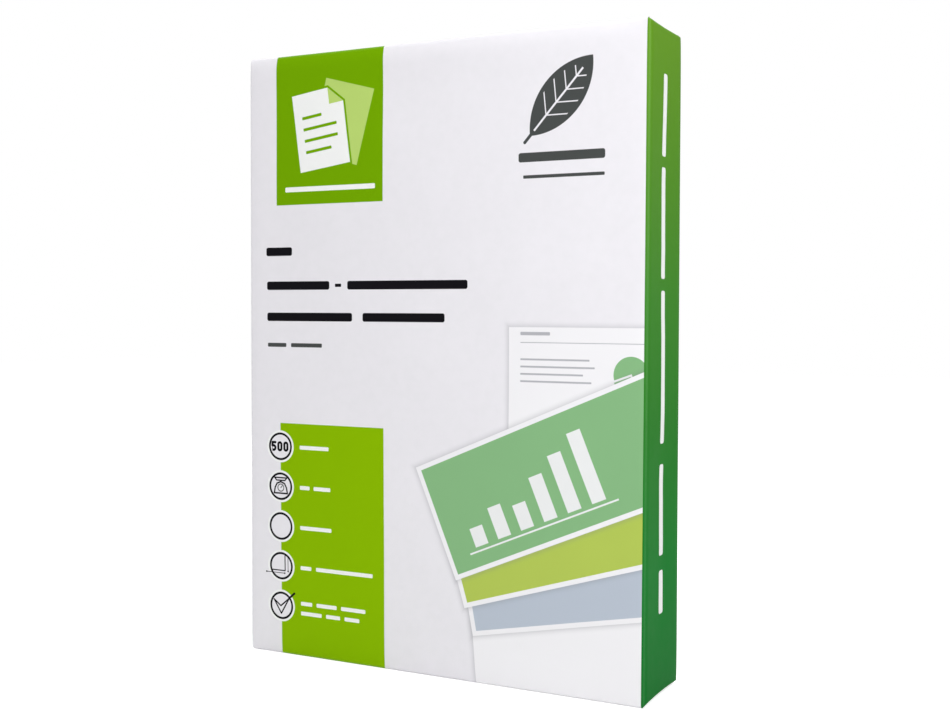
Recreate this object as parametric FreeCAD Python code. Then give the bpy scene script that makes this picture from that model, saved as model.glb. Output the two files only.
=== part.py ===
"""A wrapped ream of office paper, standing on its lower end.

One sealed pack: the stack of sheets and the printed paper wrapper round it are one solid. The wrapper goes round
the stack, laps over itself down the back, and is folded shut at both ends: the narrow sides are tucked in first,
the back flap folds over them, and the front flap folds over that. Sizes are in millimetres. The origin is at the
middle of the lower end, +Z runs up the pack, and the front faces -Y.
"""

import FreeCAD
import Part

import os

# The sheets
sheet_width = 210.0
sheet_height = 297.0
sheet_count = 500
sheet_gauge = 0.09

# The wrapper: its paper, and the room it leaves round the sheets on each face
wrapper_gauge = 0.12
side_room = 0.38
face_room = 0.28
end_room = 0.06

# The folds: how round the pack's edges are, how far a flap reaches, and how far it stands off what it covers
edge_radius = 2.0
flap_reach = 32.0
flap_loft = 0.08

# The lap down the back, and how far its middle lies to the side of the pack's middle
lap_width = 24.0
lap_offset = 10.0

# The pack, to the outside of its wrapper. Each end has three levels over the sheets: the tucked sides,
# the inner flap with the lap on it, and the outer flap that closes the end.
pack_width = sheet_width + 2 * (side_room + wrapper_gauge)
pack_depth = sheet_count * sheet_gauge + 2 * (face_room + wrapper_gauge)
flap_rise = wrapper_gauge + flap_loft
tucked_height = sheet_height + 2 * (end_room + wrapper_gauge)
inner_height = tucked_height + 2 * flap_rise
lapped_height = inner_height + 2 * wrapper_gauge
pack_height = lapped_height + 2 * flap_rise

middle_height = pack_height / 2
front = -pack_depth / 2
back = pack_depth / 2


def rounded_block(height, proud=0.0):
    """A block with round edges at the pack's middle, this high, with its back face standing this proud."""
    corner = FreeCAD.Vector(-pack_width / 2, front, middle_height - height / 2)
    block = Part.makeBox(pack_width, pack_depth + proud, height, corner)
    return block.makeFillet(edge_radius, block.Edges)


def flap_outline(hinge, way):
    """A flap seen from the end: full width at its hinge, with sides that run in at 45 degrees."""
    half = pack_width / 2
    free_edge = hinge + way * flap_reach
    corners = [
        (-half, hinge),
        (half, hinge),
        (half - flap_reach, free_edge),
        (-half + flap_reach, free_edge),
        (-half, hinge),
    ]
    points = [FreeCAD.Vector(x, y, 0) for x, y in corners]
    return Part.Face(Part.makePolygon(points))


def end_flap(block, hinge, way, base):
    """The part of a block that lies in a flap's outline, in the half of the pack that starts at this base."""
    prism = flap_outline(hinge, way).extrude(FreeCAD.Vector(0, 0, middle_height))
    prism.translate(FreeCAD.Vector(0, 0, base))
    return block.common(prism)


def back_lap():
    """The strip where the wrapper lies over itself: down the back, and on to the free edge of each inner flap."""
    flap_edge = back - flap_reach
    corner = FreeCAD.Vector(lap_offset - lap_width / 2, flap_edge, 0)
    strip = Part.makeBox(lap_width, flap_reach + wrapper_gauge, pack_height, corner)
    return rounded_block(lapped_height, proud=wrapper_gauge).common(strip)


def wrapped_ream():
    """The tucked block with its lap, its inner flaps and its outer flaps."""
    inner_block = rounded_block(inner_height)
    outer_block = rounded_block(pack_height)
    pieces = [back_lap()]
    for base in (0.0, middle_height):
        pieces.append(end_flap(inner_block, back, -1, base))
        pieces.append(end_flap(outer_block, front, 1, base))
    pack = rounded_block(tucked_height).multiFuse(pieces)
    return pack.removeSplitter()


def main():
    os.makedirs("parts", exist_ok=True)
    ream = wrapped_ream()
    box = ream.BoundBox
    print(f"solids {len(ream.Solids)}, valid {ream.isValid()}, volume {ream.Volume:.0f} mm3")
    print(f"size {box.XLength:.2f} x {box.YLength:.2f} x {box.ZLength:.2f} mm, lowest {box.ZMin:.3f}")
    ream.exportStep("parts/wrapped_ream.step")


main()
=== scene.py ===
import math

import bpy
import bmesh
import numpy as np
from mathutils import Euler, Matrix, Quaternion, Vector


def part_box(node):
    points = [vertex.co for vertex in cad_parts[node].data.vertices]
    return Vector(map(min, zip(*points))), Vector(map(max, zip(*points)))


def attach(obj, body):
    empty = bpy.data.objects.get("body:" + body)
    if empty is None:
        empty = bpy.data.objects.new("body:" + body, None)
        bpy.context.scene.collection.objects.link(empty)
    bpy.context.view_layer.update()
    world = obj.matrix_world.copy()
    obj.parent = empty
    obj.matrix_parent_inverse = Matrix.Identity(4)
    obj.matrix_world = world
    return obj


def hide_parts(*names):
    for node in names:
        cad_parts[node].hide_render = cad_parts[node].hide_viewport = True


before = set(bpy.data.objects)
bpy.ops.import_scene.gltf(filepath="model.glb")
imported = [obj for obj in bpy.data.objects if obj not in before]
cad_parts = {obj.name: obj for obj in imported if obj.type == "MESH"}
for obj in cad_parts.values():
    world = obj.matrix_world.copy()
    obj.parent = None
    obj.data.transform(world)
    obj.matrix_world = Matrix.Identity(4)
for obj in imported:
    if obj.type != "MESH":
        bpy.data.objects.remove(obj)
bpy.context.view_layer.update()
print("frame loaded:", sorted(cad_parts))

mm = 0.001
tiny = 0.001 * mm  # points nearer than this are one
quarter = math.pi / 2


# A number in a node tree. Plain maths on these writes the tree's Math nodes.
class Field:
    def __init__(self, tree, socket=None):
        self.tree = tree
        self.socket = socket

    # one way to add any node: its type, its settings, then what its sockets hold or are linked to
    def node(self, kind, settings=None, sockets=None, out=0):
        made = self.tree.nodes.new(kind)
        for name, value in (settings or {}).items():
            if name == "stops":
                setStops(made.color_ramp, value)
            else:
                setattr(made, name, value)
        for place, value in (sockets or {}).items():
            if isinstance(value, Field):
                self.tree.links.new(value.socket, made.inputs[place])
            else:
                made.inputs[place].default_value = value
        return Field(self.tree, made.outputs[out] if made.outputs else None)

    def __add__(self, other):
        return work("ADD", self, other)

    def __radd__(self, other):
        return work("ADD", other, self)

    def __sub__(self, other):
        return work("SUBTRACT", self, other)

    def __rsub__(self, other):
        return work("SUBTRACT", other, self)

    def __mul__(self, other):
        return work("MULTIPLY", self, other)

    def __rmul__(self, other):
        return work("MULTIPLY", other, self)

    def __truediv__(self, other):
        return work("DIVIDE", self, other)

    def __rtruediv__(self, other):
        return work("DIVIDE", other, self)

    def __neg__(self):
        return work("MULTIPLY", self, -1.0)

    def __abs__(self):
        return work("ABSOLUTE", self)


def work(operation, *values, clamp=False):
    home = next(value for value in values if isinstance(value, Field))
    return home.node("ShaderNodeMath", {"operation": operation, "use_clamp": clamp}, dict(enumerate(values)))


def lower(first, second):
    return work("MINIMUM", first, second)


def upper(first, second):
    return work("MAXIMUM", first, second)


# 0 up to nothing, 1 past one, and straight between
def share(value):
    return work("ADD", value, 0.0, clamp=True)


def hypot(first, second):
    return work("SQRT", work("MULTIPLY_ADD", first, first, second * second))


def setStops(ramp, stops):
    while len(ramp.elements) < len(stops):
        ramp.elements.new(0.5)
    for element, (position, colour) in zip(ramp.elements, stops):
        element.position = position
        element.color = colour


# a colour as a screen shows it, 0 to 255, turned into the light that it stands for
def shown(red, green, blue):
    light = []
    for value in (red / 255, green / 255, blue / 255):
        light.append(value / 12.92 if value <= 0.04045 else ((value + 0.055) / 1.055) ** 2.4)
    return (*light, 1.0)


# The wrapper is one flat printed sheet, drawn first and then folded round the sheets by a node tree.
# On the flat sheet, across runs round the pack from the front's left edge, and along runs up it.
packLow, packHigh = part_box("wrapped_ream")
wrapper = {
    "width": packHigh.x - packLow.x,
    "depth": -2 * packLow.y,  # the lap stands proud of the back, so the front gives the depth
    "height": packHigh.z - packLow.z,
    "edgeRadius": 1.2 * mm,
    "flapReach": 32.0 * mm,
    "gauge": 0.12 * mm,
    "flapRise": 0.20 * mm,
    "lapWidth": 24.0 * mm,
    "lapMiddle": 10.0 * mm,
    "step": 3.5 * mm,
    "endStep": 1.1 * mm,
    "endLength": 16.0 * mm,
    "roundSteps": 6,
    "tuckedShare": 0.999,  # the folds of a tucked side all but meet at its middle
    "sharpAngle": 38.0,
}


def spaced(start, stop, step):
    count = max(1, round(abs(stop - start) / step))
    return [start + (stop - start) * i / count for i in range(count)]


def sheetColumns(w):
    turn = w["edgeRadius"]
    corners = (-w["depth"], 0.0, w["width"], w["width"] + w["depth"])
    outerEdge = -w["depth"] - w["width"] / 2 - w["lapMiddle"] - w["lapWidth"] / 2
    innerEdge = w["width"] + w["depth"] + w["width"] / 2 - w["lapMiddle"] + w["lapWidth"] / 2
    columns = []
    at = outerEdge
    for corner in corners:
        columns += spaced(at, corner - turn, w["step"])
        columns += spaced(corner - turn, corner + turn, 2 * turn / w["roundSteps"])
        at = corner + turn
    return columns + spaced(at, innerEdge, w["step"]) + [innerEdge]


def sheetRows(w):
    top, turn, middle = w["height"], w["edgeRadius"], w["depth"] / 2
    rise = spaced(top / 2, top - w["endLength"], w["step"])
    rise += spaced(top - w["endLength"], top - turn, w["endStep"])
    rise += spaced(top - turn, top + turn, 2 * turn / w["roundSteps"])
    rise += spaced(top + turn, top + middle, w["step"])
    rise += spaced(top + middle, top + w["flapReach"], w["step"]) + [top + w["flapReach"]]
    return [top - along for along in reversed(rise[1:])] + rise


# where a column lies on a row that is this far past the end: the flaps narrow at 45 degrees
def narrowed(across, past, w):
    turn, reach, depth, width = w["edgeRadius"], w["flapReach"], w["depth"], w["width"]
    past = max(past, turn)
    corner = min((-depth, 0.0, width, width + depth), key=lambda place: abs(across - place))
    off = across - corner
    sideMiddle = -depth / 2 if corner < width / 2 else width + depth / 2
    towardSide = (sideMiddle - corner) * off > 0
    if abs(off) <= turn + tiny:
        spread = min(past, depth / 2 * w["tuckedShare"]) if towardSide else past
        return corner + off / turn * spread
    if towardSide:
        return sideMiddle + (across - sideMiddle) * max(depth / 2 - past, 0.0) / (depth / 2 - turn)
    if abs(off) < reach:
        return corner + math.copysign(past + (abs(off) - turn) * (reach - past) / (reach - turn), off)
    return across


def drawSheet(w):
    columns, rows = sheetColumns(w), sheetRows(w)
    turn, depth = w["edgeRadius"], w["depth"]
    sides = ((-depth + turn, -turn), (w["width"] + turn, w["width"] + depth - turn))
    tucked = [any(low < (a + b) / 2 < high for low, high in sides) for a, b in zip(columns, columns[1:])]
    sheet = bmesh.new()
    points = []
    for along in rows:
        past = max(along - w["height"], -along)
        points.append([sheet.verts.new((narrowed(across, past, w), along, 0.0)) for across in columns])
    for j in range(len(rows) - 1):
        beyond = min(max(along - w["height"], -along) for along in rows[j:j + 2]) > depth / 2 - tiny
        for i in range(len(columns) - 1):
            if not (beyond and tucked[i]):
                sheet.faces.new((points[j][i], points[j][i + 1], points[j + 1][i + 1], points[j + 1][i]))
    printMap = sheet.loops.layers.uv.new("sheet")
    for face in sheet.faces:
        for loop in face.loops:
            loop[printMap].uv = loop.vert.co.xy / mm
    bmesh.ops.remove_doubles(sheet, verts=sheet.verts, dist=tiny)
    loose = [point for point in sheet.verts if not point.link_faces]
    bmesh.ops.delete(sheet, geom=loose, context="VERTS")
    mesh = bpy.data.meshes.new("printed_wrapper")
    sheet.to_mesh(mesh)
    sheet.free()
    return mesh


# How the paper sits. Apart from the fold bulge and the lap, each of these draws it in.
relief = {
    "Slack depth": 0.9 * mm,
    "Slack size": 60.0 * mm,
    "Slack contrast": 2.2,
    "Slack level": 0.6,
    "Edge hold": 18.0 * mm,
    "Flap slack": 0.07 * mm,
    "Soft side depth": 0.2 * mm,
    "Soft side length": 7.0 * mm,
    "Soft end depth": 0.5 * mm,
    "Soft end length": 20.0 * mm,
    "Rolled depth": 1.5 * mm,
    "Rolled length": 9.0 * mm,
    "Rolled foot share": 0.32,  # of what the top has
    "Rolled side share": 0.15,  # of what the faces have
    "Corner hold": 9.0 * mm,
    "Corner share": 0.3,
    "Ripple depth": 0.22 * mm,
    "Ripple size": 11.0 * mm,
    "Ripple length": 20.0 * mm,
    "Ripple flap fade": 4.0,  # how much faster the ripples fade on the flaps
    "Corner crush": 0.15 * mm,
    "Corner size": 5.0 * mm,
    "Waist depth": 0.05 * mm,
    "Waist height": 0.35,
    "Waist fade": 2.2,
    "Tuck sink": 0.9 * mm,
    "Tuck sink top share": 0.3,  # of what the foot has
    "Fold bulge": 0.18 * mm,
    "Lap ramp": 3.5 * mm,
    "Lap room": 0.03 * mm,
    "Lap dip": 10.5 * mm,
    "Lap press": 0.10 * mm,
    "Back lean": 3.5 * mm,
    "Seed": 7.0,
}


def foldTree(w, finish):
    tree = bpy.data.node_groups.new("foldWrapper", "GeometryNodeTree")
    tree.interface.new_socket("Geometry", in_out="INPUT", socket_type="NodeSocketGeometry")
    tree.interface.new_socket("Geometry", in_out="OUTPUT", socket_type="NodeSocketGeometry")
    named = {
        "Width": w["width"],
        "Depth": w["depth"],
        "Height": w["height"],
        "Edge radius": w["edgeRadius"],
        "Gauge": w["gauge"],
        "Flap rise": w["flapRise"],
        "Lap start": -w["depth"] - w["width"] / 2 - w["lapMiddle"] + w["lapWidth"] / 2,
        "Lap edge": w["width"] * 1.5 + w["depth"] - w["lapMiddle"] - w["lapWidth"] / 2,
        **relief,
    }
    for name in named:
        tree.interface.new_socket(name, in_out="INPUT", socket_type="NodeSocketFloat")
    entry = tree.nodes.new("NodeGroupInput")
    given = {name: Field(tree, entry.outputs[name]) for name in named}
    start = Field(tree)
    width, depth, height = given["Width"], given["Depth"], given["Height"]
    turn = given["Edge radius"]

    flat = start.node("GeometryNodeInputPosition")
    across = start.node("ShaderNodeSeparateXYZ", {}, {0: flat}, out=0)
    along = start.node("ShaderNodeSeparateXYZ", {}, {0: flat}, out=1)

    # round the pack: the place on a sharp-edged block, and the way the paper faces there
    blockX = lower(upper(across, 0.0), width) - width / 2 - upper(across - width - depth, 0.0)
    blockX = blockX + upper(-depth - across, 0.0)
    blockY = lower(upper(across - width, 0.0), depth) + lower(upper(-across, 0.0), depth) - depth / 2

    def corners(reach):
        frontRight = share((across - width + reach) / (2 * reach))
        backRight = share((across - width - depth + reach) / (2 * reach))
        frontLeft = share((reach - across) / (2 * reach))
        backLeft = share((reach - depth - across) / (2 * reach))
        return frontRight, backRight, frontLeft, backLeft

    frontRight, backRight, frontLeft, backLeft = corners(turn)
    heading = (frontRight + backRight - frontLeft - backLeft) * quarter
    faceX = work("SINE", heading)
    faceY = -work("COSINE", heading)

    # over an end: how far round its edge, and how far in on the end
    up = along - height / 2
    way = work("SIGN", up)
    past = abs(up) - (height / 2 - turn)
    lean = share(past / (2 * turn)) * quarter
    inward = turn - turn * work("COSINE", lean) + upper(past - 2 * turn, 0.0)
    inset = upper(inward, turn)
    rest = upper(turn - inward, 0.0)
    coreX = work("SIGN", blockX) * lower(abs(blockX), width / 2 - inset)
    coreY = work("SIGN", blockY) * lower(abs(blockY), depth / 2 - inset)

    # each end's levels: sides tucked in lowest, then the back flap, then the front flap
    frontRight, backRight, frontLeft, backLeft = corners(inset)
    backness = backRight + backLeft
    sideness = frontRight + frontLeft - backness
    backDrop = given["Flap rise"] + given["Gauge"]
    sideDrop = backDrop + given["Flap rise"]
    bow = 1.0 - (2 * blockY / depth) * (2 * blockY / depth)
    topSink = given["Tuck sink top share"]
    atThisEnd = (1.0 + topSink) / 2 - (1.0 - topSink) / 2 * way
    sink = given["Tuck sink"] * atThisEnd * bow * share(1.0 - inward * 2 / depth)
    level = height / 2 - sideness * (sideDrop + sink) - backness * backDrop
    body = lower(abs(up), height / 2 - turn) * (level - turn) / (height / 2 - turn)
    bulge = given["Fold bulge"] * work("SINE", sideness * math.pi) * share(inward / turn - 1.0)
    foldX = coreX + faceX * rest + work("SIGN", blockX) * bulge
    foldY = coreY + faceY * rest - work("SIGN", blockY) * bulge
    foldZ = height / 2 + way * (body + turn * work("SINE", lean))
    # the stack is a little thinner at its top
    foldY = foldY - given["Back lean"] * foldZ / height * (foldY / depth + 0.5)
    folded = start.node("ShaderNodeCombineXYZ", {}, {0: foldX, 1: foldY, 2: foldZ})
    outward = start.node(
        "ShaderNodeCombineXYZ",
        {},
        {0: faceX * work("COSINE", lean), 1: faceY * work("COSINE", lean), 2: way * work("SINE", lean)},
    )

    # the lap rides on the sheet's other end, which dips a little under the lap's free edge
    overlap = share((given["Lap start"] - across) / given["Lap ramp"] + 1.0)
    lift = (given["Gauge"] + given["Lap room"]) * overlap
    press = given["Lap press"] * share(1.0 - abs(across - given["Lap edge"]) / given["Lap dip"])

    # smooth chance relief of this size; each use shifts it, so no two are alike
    def wander(size, shift, detail=1.0):
        return start.node(
            "ShaderNodeTexNoise",
            {"noise_dimensions": "4D"},
            {"Vector": folded, "W": given["Seed"] + shift, "Scale": 1.0 / size, "Detail": detail},
        )

    toEdge = lower(
        lower(abs(across), abs(across - width)),
        lower(abs(across - width - depth), abs(across + depth)),
    )
    toEnd = height / 2 - abs(up)
    onPanel = share(toEdge / given["Edge hold"]) * share(toEnd / given["Edge hold"])
    onFlap = share(-toEnd / (4 * turn))
    offFlap = share(toEnd / (4 * turn))
    loose = wander(given["Slack size"], 0.0, 2.0) * given["Slack contrast"] - given["Slack level"]
    slack = given["Slack depth"] * share(loose) * onPanel
    flapSlack = given["Flap slack"] * share(wander(given["Slack size"] / 3, 4.0)) * onFlap
    nearSide = share(1.0 - toEdge / given["Soft side length"])
    soft = given["Soft side depth"] * nearSide * nearSide * abs(faceY) * offFlap
    flapGap = upper(toEnd, -toEnd * given["Ripple flap fade"])
    nearRipple = share(1.0 - flapGap / given["Ripple length"])
    ripple = given["Ripple depth"] * wander(given["Ripple size"], 9.0) * nearRipple * nearRipple
    nearCorner = share(1.0 - toEdge / given["Corner size"]) * share(1.0 - abs(toEnd) / given["Corner size"])
    crush = given["Corner crush"] * nearCorner * nearCorner
    nearWaist = share(1.0 - abs(foldZ / height - given["Waist height"]) * given["Waist fade"])
    waist = given["Waist depth"] * share(sideness) * nearWaist
    shift = lift - (slack + flapSlack + soft + ripple + crush + waist + press)
    moved = start.node(
        "ShaderNodeVectorMath",
        {"operation": "MULTIPLY_ADD"},
        {0: outward, 1: start.node("ShaderNodeCombineXYZ", {}, {0: shift, 1: shift, 2: shift}), 2: folded},
    )

    # The paper rolls over each end more loosely than down the sides, and most at the top.
    # The pack's corners hold it out.
    endGap = abs(toEnd + turn)
    nearEnd = share(1.0 - endGap / given["Soft end length"])
    atEnd = share(1.0 - endGap / given["Rolled length"])
    foot = given["Rolled foot share"]
    topMore = (1.0 + foot) / 2 + (1.0 - foot) / 2 * way
    held = given["Corner share"] + (1.0 - given["Corner share"]) * share(toEdge / given["Corner hold"])
    onSide = 1.0 - (1.0 - given["Rolled side share"]) * sideness
    rolled = given["Soft end depth"] * nearEnd * nearEnd + given["Rolled depth"] * atEnd * atEnd
    rolled = rolled * topMore * held * onSide
    moved = start.node(
        "ShaderNodeVectorMath",
        {"operation": "ADD"},
        {0: moved, 1: start.node("ShaderNodeCombineXYZ", {}, {0: -rolled * faceX, 1: -rolled * faceY})},
    )

    placed = start.node(
        "GeometryNodeSetPosition",
        {},
        {"Geometry": Field(tree, entry.outputs[0]), "Position": moved},
    )
    real = start.node("GeometryNodeRealizeInstances", {}, {"Geometry": placed})
    coated = start.node("GeometryNodeSetMaterial", {}, {"Geometry": real, "Material": finish})
    leave = tree.nodes.new("NodeGroupOutput")
    tree.links.new(coated.socket, leave.inputs[0])
    return tree, named


# The OFBake map: the front gets the most room on it, and the unseen inner skin almost none.
bakeRoom = {"left": 0.004, "right": 0.985, "innerLeft": 0.989, "innerRight": 0.996, "margin": 1.0 * mm}
panelRoom = {"back": 1.0, "left": 2.0, "front": 2.75, "right": 2.5}


def addBakeMap(mesh, skinFaces, skinPoints, w):
    corners = [-w["depth"], 0.0, w["width"], w["width"] + w["depth"]]
    columns = sheetColumns(w)
    stops = [columns[0], *corners, columns[-1]]
    shares = [panelRoom[name] for name in ("back", "left", "front", "right", "back")]
    room = np.cumsum([0.0] + [(b - a) * k for a, b, k in zip(stops, stops[1:], shares)])
    room = bakeRoom["left"] + room / room[-1] * (bakeRoom["right"] - bakeRoom["left"])
    count = len(mesh.loops)
    printed = np.zeros(count * 2, np.float32)
    mesh.uv_layers["sheet"].uv.foreach_get("vector", printed)
    printed = printed.reshape(-1, 2) * mm
    point = np.zeros(count, np.int32)
    mesh.loops.foreach_get("vertex_index", point)
    face = np.repeat(np.arange(len(mesh.polygons)), [p.loop_total for p in mesh.polygons])
    reach = w["flapReach"] + bakeRoom["margin"]
    upward = (printed[:, 1] + reach) / (w["height"] + 2 * reach)
    sideways = np.interp(printed[:, 0], stops, room)
    narrow = bakeRoom["innerRight"] - bakeRoom["innerLeft"]
    hidden = bakeRoom["innerLeft"] + narrow * 0.5 * (sideways + (point >= skinPoints))
    sideways = np.where(face < skinFaces, sideways, hidden)
    bakeMap = mesh.uv_layers.new(name="OFBake", do_init=False)
    bakeMap.uv.foreach_set("vector", np.stack([sideways, upward], 1).astype(np.float32).ravel())


def foldWrapper(w, finish):
    mesh = drawSheet(w)
    piece = bpy.data.objects.new("printed_wrapper", mesh)
    bpy.context.scene.collection.objects.link(piece)
    tree, named = foldTree(w, finish)
    fold = piece.modifiers.new("fold", "NODES")
    fold.node_group = tree
    for item in tree.interface.items_tree:
        if item.item_type == "SOCKET" and item.in_out == "INPUT" and item.name in named:
            fold[item.identifier] = named[item.name]
    thicken = piece.modifiers.new("paper", "SOLIDIFY")
    thicken.thickness = w["gauge"]
    thicken.offset = -1.0
    view = bpy.context.evaluated_depsgraph_get()
    folded = bpy.data.meshes.new_from_object(piece.evaluated_get(view))
    piece.modifiers.clear()
    skinFaces, skinPoints = len(mesh.polygons), len(mesh.vertices)
    piece.data = folded
    folded.name = "printed_wrapper"
    folded.polygons.foreach_set("use_smooth", [True] * len(folded.polygons))
    folded.set_sharp_from_angle(angle=math.radians(w["sharpAngle"]))
    addBakeMap(folded, skinFaces, skinPoints, w)
    folded.update()
    print("wrapper folded:", len(folded.polygons), "faces")
    return piece


# The print. All its places are millimetres on the flat sheet: x from the front's left edge,
# and z from the lower end.
paperWhite = shown(232, 230, 235)
blockGreen = shown(112, 163, 2)
columnGreen = shown(135, 181, 2)
titleInk = shown(20, 19, 23)
badgeInk = shown(72, 75, 74)
whiteInk = shown(241, 242, 241)
inkSoftness = 0.16  # how soft a printed edge is


# Each shape is a distance to its edge, less than nothing inside it.
def rounded(x, z, left, right, middle, thick, roundness=0.25):
    radius = thick * roundness
    pastX = upper(abs(x - (left + right) / 2) - ((right - left) / 2 - radius), 0.0)
    pastZ = upper(abs(z - middle) - (thick / 2 - radius), 0.0)
    return hypot(pastX, pastZ) - radius


def square(x, z, left, right, low, high):
    pastX = abs(x - (left + right) / 2) - (right - left) / 2
    pastZ = abs(z - (low + high) / 2) - (high - low) / 2
    return upper(pastX, pastZ)


def disc(x, z, middleX, middleZ, radius):
    return hypot(x - middleX, z - middleZ) - radius


def outline(distance, thick):
    return abs(distance) - thick / 2


def stroke(x, z, start, stop, thick):
    runX, runZ = stop[0] - start[0], stop[1] - start[1]
    length = runX * runX + runZ * runZ
    fromX, fromZ = x - start[0], z - start[1]
    part = work("MULTIPLY_ADD", fromX, runX / length, fromZ * (runZ / length), clamp=True)
    return hypot(fromX - part * runX, fromZ - part * runZ) - thick / 2


def turned(x, z, middleX, middleZ, degrees):
    cosine, sine = math.cos(math.radians(degrees)), math.sin(math.radians(degrees))
    fromX, fromZ = x - middleX, z - middleZ
    return fromX * cosine + fromZ * sine, fromZ * cosine - fromX * sine


def leaf(x, z, halfLength, halfWidth):
    radius = (halfLength**2 + halfWidth**2) / (2 * halfWidth)
    return hypot(abs(x) + (radius - halfWidth), z) - radius


def inside(distance, softness=inkSoftness):
    return work("MULTIPLY_ADD", distance, -1.0 / softness, 0.5, clamp=True)


# the Mix node's colours are its sockets 6 and 7, and its mixed colour is its output 2
def paint(coat, colour, mask):
    return mask.node("ShaderNodeMix", {"data_type": "RGBA"}, {0: mask, 6: coat, 7: colour}, out=2)


def anyOf(shapes):
    joined = shapes[0]
    for shape in shapes[1:]:
        joined = lower(joined, shape)
    return joined


greenBlock = {
    "left": 16.2,
    "right": 77.8,
    "low": 224.7,
    "bleed": 18.0,
    "rule": (21.5, 73.5, 232.2, 2.4),
    "tint": shown(182, 210, 112),
}
# each page's middle and turn, then half its width and half its height
blockPages = {
    "back": (54.5, 264.0, -15.0),
    "backHalf": (14.0, 18.5),
    "front": (42.5, 261.0, 8.0),
    "frontHalf": (14.5, 19.0),
    "corner": 8.0,
    "gap": 1.1,
    "lineLeft": -10.0,
    "lineRights": (1.5, 9.5, 9.5, 5.0),
    "lineTop": 7.0,
    "linePitch": 5.6,
    "lineThick": 1.5,
}


# two plain pages on a green block, and a rule under them
def paintBlock(coat, x, z, top):
    b, p = greenBlock, blockPages
    coat = paint(coat, blockGreen, inside(square(x, z, b["left"], b["right"], b["low"], top + b["bleed"])))
    backX, backZ = turned(x, z, *p["back"])
    wide, high = p["backHalf"]
    coat = paint(coat, b["tint"], inside(square(backX, backZ, -wide, wide, -high, high)))
    pageX, pageZ = turned(x, z, *p["front"])
    wide, high = p["frontHalf"]
    cut = (pageX + pageZ - (wide + high - p["corner"])) * math.sqrt(0.5)
    page = upper(square(pageX, pageZ, -wide, wide, -high, high), cut)
    coat = paint(coat, blockGreen, inside(page - p["gap"]))
    coat = paint(coat, whiteInk, inside(page))
    turnedCorner = upper(upper(wide - p["corner"] - pageX, high - p["corner"] - pageZ), cut)
    coat = paint(coat, b["tint"], inside(turnedCorner))
    lines = []
    for i, right in enumerate(p["lineRights"]):
        middle = p["lineTop"] - p["linePitch"] * i
        lines.append(rounded(pageX, pageZ, p["lineLeft"], right, middle, p["lineThick"]))
    coat = paint(coat, blockGreen, inside(anyOf(lines)))
    return paint(coat, whiteInk, inside(rounded(x, z, *b["rule"])))


# plain bars stand in for each line of words: left, right, middle height and thickness
titleBars = (
    (9.9, 25.3, 201.8, 4.2),
    (10.3, 47.3, 184.9, 4.2),
    (50.6, 54.2, 184.9, 1.6),
    (57.7, 123.4, 184.9, 4.2),
    (10.4, 60.4, 169.4, 4.2),
    (66.4, 111.4, 169.4, 4.2),
)
thinBars = ((10.8, 21.8, 155.4, 2.0), (24.6, 42.9, 155.4, 2.0))
badgeBars = ((149.0, 190.6, 241.4, 4.2), (151.4, 190.4, 232.7, 1.5))


def paintTitle(coat, x, z):
    for bars, colour in ((titleBars, titleInk), (thinBars, badgeInk)):
        coat = paint(coat, colour, inside(anyOf([rounded(x, z, *bar) for bar in bars])))
    return coat


leafMark = {
    "x": 169.6,
    "z": 267.6,
    "tilt": -42.0,
    "long": 22.5,  # half its length
    "wide": 10.0,  # half its width
    "stalkLow": -27.0,
    "stalkHigh": -20.5,
    "stalkThick": 1.5,
    "ribThick": 0.9,
    "ribMiddle": -2.0,
    "ribHalf": 17.5,
    "veinThick": 0.7,
    "veinPitch": 7.2,
    "veinSlope": 0.9,
    "veinMiddle": -1.0,
    "veinHalf": 13.95,
    "veinShare": 0.8,  # how far the veins reach to the blade's edge
}


# one plain leaf with a rib and veins, over two bars
def paintLeaf(coat, x, z):
    m = leafMark
    leafX, leafZ = turned(x, z, m["x"], m["z"], m["tilt"])
    side = abs(leafX)
    stalk = rounded(leafZ, leafX, m["stalkLow"], m["stalkHigh"], 0.0, m["stalkThick"], 0.5)
    rib = upper(side - m["ribThick"] / 2, abs(leafZ - m["ribMiddle"]) - m["ribHalf"])
    rise = leafZ - side * m["veinSlope"]
    toVein = abs(work("FRACT", rise / m["veinPitch"]) - 0.5) * m["veinPitch"]
    inner = leaf(leafX, leafZ, m["long"] * m["veinShare"], m["wide"] * m["veinShare"])
    vein = upper(toVein - m["veinThick"] / 2, inner)
    vein = upper(vein, abs(rise - m["veinMiddle"]) - m["veinHalf"])
    blade = upper(leaf(leafX, leafZ, m["long"], m["wide"]), -lower(rib, vein))
    bars = [rounded(x, z, *bar) for bar in badgeBars]
    return paint(coat, badgeInk, inside(anyOf([blade, stalk, *bars])))


roundels = {"x": 18.15, "top": 104.6, "pitch": 20.05, "count": 5, "outer": 6.95, "line": 1.1, "halo": 1.05}
column = {"left": 18.2, "right": 78.4, "high": 116.4, "bleed": 18.0, "lean": 0.009, "barThick": 1.9}
# the roundel that each row of bars stands beside, its rise from that one's middle, and each bar's ends
rowBars = (
    (0, 0.0, ((29.8, 46.9),)),
    (1, 0.0, ((29.8, 35.6), (38.0, 47.9))),
    (2, 0.0, ((29.8, 48.3),)),
    (3, 0.0, ((29.8, 36.2), (39.0, 71.9))),
    (4, 2.2, ((29.9, 36.6), (39.2, 51.0), (53.6, 67.7))),
    (4, -2.7, ((29.9, 42.2), (44.8, 53.0), (55.6, 64.2))),
)


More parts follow.
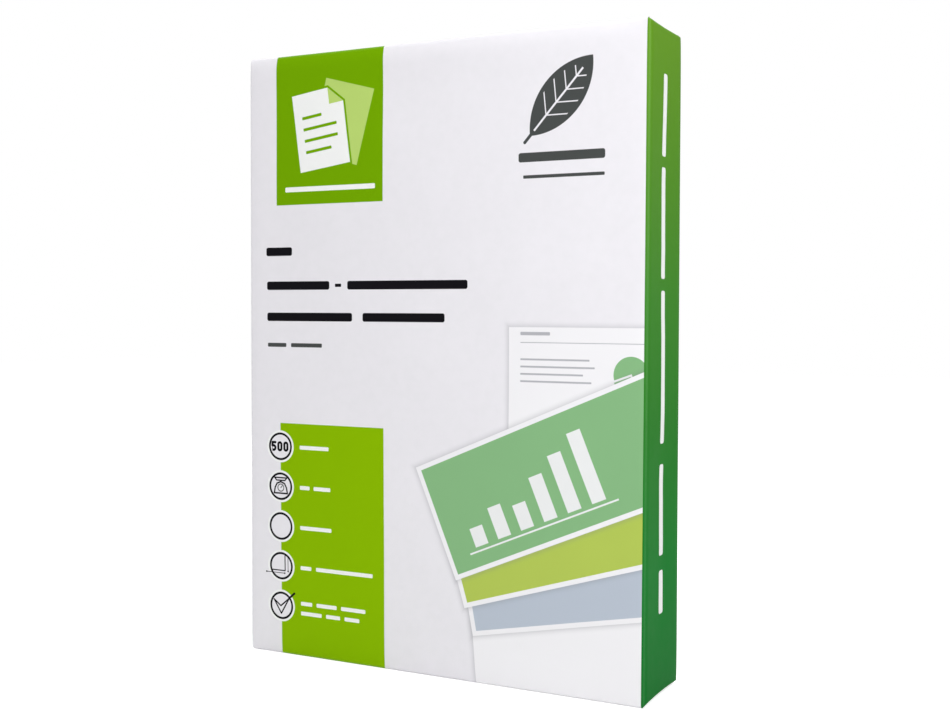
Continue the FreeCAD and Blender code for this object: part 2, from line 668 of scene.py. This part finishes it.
# the numerals 5, 0 and 0, drawn about their own middle
def fiveHundred(x, z):
    line = 1.25
    parts = []
    for middle in (-0.4, 3.25):
        parts.append(outline(hypot(x - middle, upper(abs(z) - 1.0, 0.0)) - 0.93, line))
    five = x + 4.05
    parts.append(stroke(five, z, (-0.75, 1.93), (0.95, 1.93), line))
    parts.append(stroke(five, z, (-0.75, 1.93), (-0.85, 0.35), line))
    bowl = outline(disc(five, z, -0.2, -0.8, 1.13), line)
    parts.append(upper(bowl, -0.95 - five))
    return anyOf(parts)


# a pan on a bell-shaped body, both sides alike; its dial is painted apart, in grey
def weighingScale(x, z):
    side = abs(x)
    runs = (
        ((0.0, 4.3), (3.7, 4.3), 0.7),
        ((3.7, 4.3), (2.5, 3.0), 0.7),
        ((0.0, 3.0), (2.5, 3.0), 0.7),
        ((0.0, 2.9), (0.0, 2.3), 0.8),
        ((0.0, 2.3), (2.3, 1.4), 0.8),
        ((2.3, 1.4), (3.4, -0.6), 0.8),
        ((3.4, -0.6), (4.0, -3.5), 0.8),
        ((0.0, -3.5), (4.0, -3.5), 0.8),
    )
    return anyOf([stroke(side, z, *run) for run in runs])


def scaleDial(x, z):
    return lower(outline(disc(x, z, 0.0, -0.7, 1.8), 0.5), stroke(x, z, (0.0, -0.7), (0.9, 0.3), 0.45))


def pageCorner(x, z):
    runs = (
        ((2.3, 5.3), (2.3, -2.3), 0.6),
        ((-5.8, -2.3), (2.3, -2.3), 0.6),
        ((4.1, 4.0), (4.1, -2.5), 0.35),
        ((-9.0, -3.6), (2.0, -3.6), 0.35),
    )
    dots = [disc(x, z, *end, 0.45) for end in ((4.1, -2.5), (2.0, -3.6), (-9.0, -3.6))]
    return anyOf([stroke(x, z, *run) for run in runs] + dots)


def tick(x, z):
    runs = (
        ((-4.6, 2.8), (-0.5, -0.2), 0.75),
        ((-4.6, 2.8), (-0.25, -4.0), 0.75),
        ((-0.5, -0.2), (4.6, 4.0), 0.75),
        ((-0.25, -4.0), (4.6, 4.0), 0.75),
        ((4.6, 4.0), (7.8, 6.8), 1.1),
    )
    return anyOf([stroke(x, z, *run) for run in runs])


def paintColumn(coat, x, z):
    c, r = column, roundels
    x = x + (z - c["high"]) * c["lean"]
    coat = paint(coat, columnGreen, inside(square(x, z, c["left"], c["right"], -c["bleed"], c["high"])))
    lowest = r["top"] - r["pitch"] * (r["count"] - 1)
    cell = (z - lowest) / r["pitch"]
    nearest = lower(upper(work("ROUND", cell), 0.0), r["count"] - 1.0)
    fromRow = (cell - nearest) * r["pitch"]
    fromMiddle = hypot(x - r["x"], fromRow)
    coat = paint(coat, whiteInk, inside(fromMiddle - r["outer"] - r["halo"]))
    coat = paint(coat, paperWhite, inside(fromMiddle - r["outer"] + r["line"]))
    symbols = [outline(fromMiddle - r["outer"] + r["line"] / 2, r["line"])]
    for row, symbol in ((0, fiveHundred), (1, weighingScale), (3, pageCorner), (4, tick)):
        symbols.append(symbol(x - r["x"], z - (r["top"] - r["pitch"] * row)))
    coat = paint(coat, badgeInk, inside(scaleDial(x - r["x"], z - (r["top"] - r["pitch"]))))
    coat = paint(coat, titleInk, inside(anyOf(symbols)))
    bars = []
    for row, rise, words in rowBars:
        middle = r["top"] - r["pitch"] * row + rise
        bars += [rounded(x, z, left, right, middle, c["barThick"]) for left, right in words]
    return paint(coat, whiteInk, inside(anyOf(bars)))


softGreen = shown(133, 181, 129)
limeGreen = shown(176, 196, 88)
greyBlue = shown(182, 191, 204)
pageWhite = shown(238, 237, 240)
pageGrey = shown(176, 176, 182)
# sheets fanned out from the lower left, the lowest first: lower left corner, turn, height and colour
fan = (
    (131.5, -30.0, 5.0, 78.0, pageWhite),
    (127.0, 22.0, 11.0, 46.0, greyBlue),
    (122.5, 34.5, 17.0, 50.0, limeGreen),
    (118.0, 47.0, 23.0, 56.0, softGreen),
)
fanLook = {"width": 180.0, "border": 2.2, "shadow": 3.2, "shade": 0.32, "shadeTone": shown(120, 120, 128)}
chart = {
    "left": 16.0,
    "low": 11.0,
    "wide": 7.0,
    "pitch": 12.5,
    "heights": (9.0, 15.0, 12.0, 21.0, 27.0, 33.0),
    "baseLeft": -4.0,
    "baseLow": -2.4,
    "baseHigh": -1.6,
    "strength": 0.92,
}
backPage = {
    "left": 144.8,
    "low": 40.0,
    "high": 165.5,
    "textLeft": 150.5,
    "titleRight": 165.0,
    "titleMiddle": 162.6,
    "titleThick": 1.5,
    "ruleLow": 158.4,
    "ruleHigh": 158.75,
    "lineRights": (184.0, 186.5, 181.0, 185.0),
    "lineTop": 151.0,
    "linePitch": 3.3,
    "lineThick": 0.8,
    "pie": (203.5, 145.0, 20.0),  # middle and turn
    "pieRadius": 8.6,
    "pieGap": 0.45,
}


def castShadow(coat, distance):
    near = inside(distance - fanLook["shadow"] / 2, fanLook["shadow"])
    return paint(coat, fanLook["shadeTone"], near * near * fanLook["shade"])


# an upright page behind the fan, with plain lines and a pie chart
def paintBackPage(coat, x, z, width):
    b = backPage
    page = square(x, z, b["left"], width, b["low"], b["high"])
    coat = castShadow(coat, page)
    coat = paint(coat, pageWhite, inside(page))
    lines = []
    for i, right in enumerate(b["lineRights"]):
        lines.append(rounded(x, z, b["textLeft"], right, b["lineTop"] - b["linePitch"] * i, b["lineThick"]))
    lines.append(rounded(x, z, b["textLeft"], b["titleRight"], b["titleMiddle"], b["titleThick"]))
    lines.append(square(x, z, b["textLeft"], width, b["ruleLow"], b["ruleHigh"]))
    coat = paint(coat, pageGrey, inside(anyOf(lines)))
    pieX, pieZ = turned(x, z, *b["pie"])
    fromMiddle = hypot(pieX, pieZ)
    slices = lower(upper(pieX, pieZ), b["pieRadius"] - fromMiddle)
    pie = upper(fromMiddle - b["pieRadius"], b["pieGap"] - abs(slices))
    return paint(coat, softGreen, inside(pie))


def paintFan(coat, x, z, width):
    for leftX, lowZ, degrees, high, colour in fan:
        sheetX, sheetZ = turned(x, z, leftX, lowZ, degrees)
        page = square(sheetX, sheetZ, 0.0, fanLook["width"], 0.0, high)
        onFront = upper(page, x - width)
        coat = castShadow(coat, onFront)
        coat = paint(coat, pageWhite, inside(onFront))
        coat = paint(coat, colour, inside(upper(page + fanLook["border"], x - width)))

    # the last sheet lies on top and carries the bar chart
    chartX, chartZ = sheetX - chart["left"], sheetZ - chart["low"]
    bars = []
    for i, high in enumerate(chart["heights"]):
        left = chart["pitch"] * i
        bars.append(square(chartX, chartZ, left, left + chart["wide"], 0.0, high))
    baseRight = chart["pitch"] * len(chart["heights"])
    bars.append(square(chartX, chartZ, chart["baseLeft"], baseRight, chart["baseLow"], chart["baseHigh"]))
    return paint(coat, pageWhite, inside(upper(anyOf(bars), x - width)) * chart["strength"])


# the narrow sides run from lime at the top to deep green at the foot
sideStops = (
    (0.0, shown(5, 111, 36)),
    (0.19, shown(16, 120, 41)),
    (0.41, shown(39, 121, 35)),
    (0.60, shown(60, 131, 38)),
    (1.0, shown(98, 148, 30)),
)
sidePrint = {"wrap": 1.7, "leftInset": 1.0, "barMiddle": 22.4, "barWide": 5.2}
sideBars = ((36.4, 56.1), (62.9, 104.2), (113.6, 182.1), (187.4, 236.8), (241.6, 277.8))


def paintSides(coat, x, z, w):
    s = sidePrint
    width, depth, top = w["width"] / mm, w["depth"] / mm, w["height"] / mm
    fade = z.node("ShaderNodeValToRGB", {"stops": sideStops}, {0: z / top})
    right = abs(x - (width + depth / 2 - s["wrap"] / 2)) - (depth + s["wrap"]) / 2
    left = abs(x + depth / 2 - s["wrap"] / 2) - (depth - s["wrap"]) / 2 + s["leftInset"]
    coat = paint(coat, fade, inside(lower(right, left)))
    middle = width + s["barMiddle"]
    bars = [rounded(z, x, low, high, middle, s["barWide"]) for low, high in sideBars]
    return paint(coat, whiteInk, inside(anyOf(bars)))


lapShadeLine = {"cut": 0.35, "softness": 0.3, "tone": shown(212, 211, 214)}


# painted shade: a thin grey line along the lap's free edge, a little darker than its face, stands in for the
# shadow line at the step
def paintLapShade(coat, x, w):
    freeEdge = -(w["depth"] + w["width"] / 2 + w["lapMiddle"] + w["lapWidth"] / 2) / mm
    return paint(coat, lapShadeLine["tone"], inside(x - freeEdge - lapShadeLine["cut"], lapShadeLine["softness"]))


# the paper's surface: soft clouds and fine grain in it, and the rubbing along its edges
paperLook = {
    "cloudScale": 240.0,
    "cloudTone": shown(226, 225, 229),
    "cloudContrast": 2.4,
    "cloudLevel": 0.9,
    "cloudShare": 0.4,
    "cloudRelief": 0.9,
    "grainScale": 2600.0,
    "grainRelief": 0.35,
    "bump": 0.35,
    "bumpDepth": 0.05 * mm,
    "scuffScale": 900.0,
    "scuffLevel": 0.45,
    "scuffContrast": 0.5,
    "rubbedWidth": 1.6,
    "rubbedShare": 0.05,
    "roughness": 0.40,
    "cloudRoughness": 0.10,
    "grainRoughness": 0.05,
    "shine": 0.015,
}


def printedPaper(w):
    k = paperLook
    finish = bpy.data.materials.new("printedPaper")
    finish.use_nodes = True
    tree = finish.node_tree
    tree.nodes.clear()
    start = Field(tree)
    sheet = start.node("ShaderNodeUVMap", {"uv_map": "sheet"})
    x = start.node("ShaderNodeSeparateXYZ", {}, {0: sheet}, out=0)
    z = start.node("ShaderNodeSeparateXYZ", {}, {0: sheet}, out=1)
    width, depth, top = w["width"] / mm, w["depth"] / mm, w["height"] / mm
    place = start.node("ShaderNodeTexCoord", {}, {}, out="Object")

    def noise(scale, detail):
        return start.node("ShaderNodeTexNoise", {}, {"Vector": place, "Scale": scale, "Detail": detail})

    cloud = noise(k["cloudScale"], 3.0)
    cloudy = share(cloud * k["cloudContrast"] - k["cloudLevel"]) * k["cloudShare"]
    coat = paint(paperWhite, k["cloudTone"], cloudy)
    coat = paintBackPage(coat, x, z, width)
    coat = paintFan(coat, x, z, width)
    coat = paintBlock(coat, x, z, top)
    coat = paintTitle(coat, x, z)
    coat = paintLeaf(coat, x, z)
    coat = paintColumn(coat, x, z)
    coat = paintSides(coat, x, z, w)
    # painted shade along the lap's free edge
    coat = paintLapShade(coat, x, w)

    # the print is rubbed a little where the paper turns over an edge
    toEdge = lower(lower(abs(x), abs(x - width)), lower(abs(x - width - depth), abs(x + depth)))
    toEdge = lower(toEdge, lower(abs(z), abs(z - top)))
    scuff = share(k["scuffLevel"] + noise(k["scuffScale"], 4.0) * k["scuffContrast"])
    rubbed = share(1.0 - toEdge / k["rubbedWidth"]) * scuff * k["rubbedShare"]
    coat = paint(coat, whiteInk, rubbed)

    grain = noise(k["grainScale"], 3.0)
    height = grain * k["grainRelief"] + cloud * k["cloudRelief"]
    bump = start.node(
        "ShaderNodeBump",
        {},
        {"Strength": k["bump"], "Distance": k["bumpDepth"], "Height": height},
    )
    roughness = k["roughness"] + k["cloudRoughness"] * cloud + k["grainRoughness"] * grain
    shader = start.node(
        "ShaderNodeBsdfPrincipled",
        {},
        {"Base Color": coat, "Roughness": roughness, "Specular IOR Level": k["shine"], "Normal": bump},
    )
    start.node("ShaderNodeOutputMaterial", {}, {"Surface": shader})
    print("print drawn:", len(tree.nodes), "nodes")
    return finish


paper = printedPaper(wrapper)
piece = foldWrapper(wrapper, paper)
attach(piece, "root")
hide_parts("wrapped_ream")


# The floor is plain white. It shows as white to the camera, apart from the pack's shadow.
studio = {
    "floorSize": 6.0,
    "floorTone": 0.80,
    "floorLift": 0.66,
    "sky": 0.44,
}


# one strength for the light that falls on the pack, and another for what is seen or mirrored
def whiteForCamera(start, dim, lit):
    seen = 0.0
    for name in ("Is Camera Ray", "Is Glossy Ray", "Is Transmission Ray"):
        seen = seen + start.node("ShaderNodeLightPath", {}, {}, out=name)
    return dim + share(seen) * (lit - dim)


def layFloor(s):
    half = s["floorSize"] / 2
    mesh = bpy.data.meshes.new("floor")
    corners = [(-half, -half, 0), (half, -half, 0), (half, half, 0), (-half, half, 0)]
    mesh.from_pydata(corners, [], [(0, 1, 2, 3)])
    floor = bpy.data.objects.new("floor", mesh)
    bpy.context.scene.collection.objects.link(floor)
    finish = bpy.data.materials.new("floorWhite")
    finish.use_nodes = True
    finish.node_tree.nodes.clear()
    start = Field(finish.node_tree)
    matt = start.node("ShaderNodeBsdfDiffuse", {}, {"Color": (s["floorTone"],) * 3 + (1.0,)})
    glow = start.node("ShaderNodeEmission", {}, {"Strength": whiteForCamera(start, 0.0, s["floorLift"])})
    both = start.node("ShaderNodeAddShader", {}, {0: matt, 1: glow})
    start.node("ShaderNodeOutputMaterial", {}, {"Surface": both})
    mesh.materials.append(finish)
    return floor


def lightSky(s):
    world = bpy.data.worlds.new("studio")
    bpy.context.scene.world = world
    world.use_nodes = True
    world.node_tree.nodes.clear()
    start = Field(world.node_tree)
    sky = start.node(
        "ShaderNodeBackground",
        {},
        {"Color": (1.0, 1.0, 1.0, 1.0), "Strength": whiteForCamera(start, s["sky"], 1.0)},
    )
    start.node("ShaderNodeOutputWorld", {}, {"Surface": sky})


# soft lamps: place, what each points at, size and power
lamps = (
    ("key", (0.50, -0.36, 0.42), (0.05, -0.02, 0.17), 0.28, 2.0),
    ("over", (0.0, -0.20, 1.05), (0.0, -0.02, 0.22), 0.40, 3.6),
    ("fill", (0.24, -1.06, 0.12), (0.04, -0.02, 0.06), 0.60, 1.5),
    ("rear", (-0.80, 0.52, 0.48), (0.0, 0.02, 0.15), 0.50, 5.4),
)


def hangLamps():
    for name, place, aim, size, power in lamps:
        light = bpy.data.lights.new(name, "AREA")
        light.size = size
        light.energy = power
        lamp = bpy.data.objects.new(name, light)
        lamp.location = place
        lamp.rotation_euler = (Vector(aim) - Vector(place)).to_track_quat("-Z", "Y").to_euler()
        bpy.context.scene.collection.objects.link(lamp)


eye = {
    "place": (0.2847, -0.5349, 0.1718),
    "yaw": 27.14,
    "pitch": 2.245,
    "roll": 0.243,
    "lens": 47.5,
    "sensor": 36.0,
    "clipStart": 0.01,
}


def setCamera(e):
    lens = bpy.data.cameras.new("eye")
    lens.lens = e["lens"]
    lens.sensor_width = e["sensor"]
    lens.sensor_fit = "HORIZONTAL"
    lens.clip_start = e["clipStart"]
    camera = bpy.data.objects.new("eye", lens)
    camera.location = e["place"]
    aim = Euler((quarter - math.radians(e["pitch"]), 0.0, math.radians(e["yaw"]))).to_quaternion()
    camera.rotation_euler = (aim @ Quaternion((0.0, 0.0, 1.0), math.radians(e["roll"]))).to_euler()
    bpy.context.scene.collection.objects.link(camera)
    bpy.context.scene.camera = camera


layFloor(studio)
lightSky(studio)
hangLamps()
setCamera(eye)
bpy.context.scene.view_settings.view_transform = "Standard"
print("studio set")
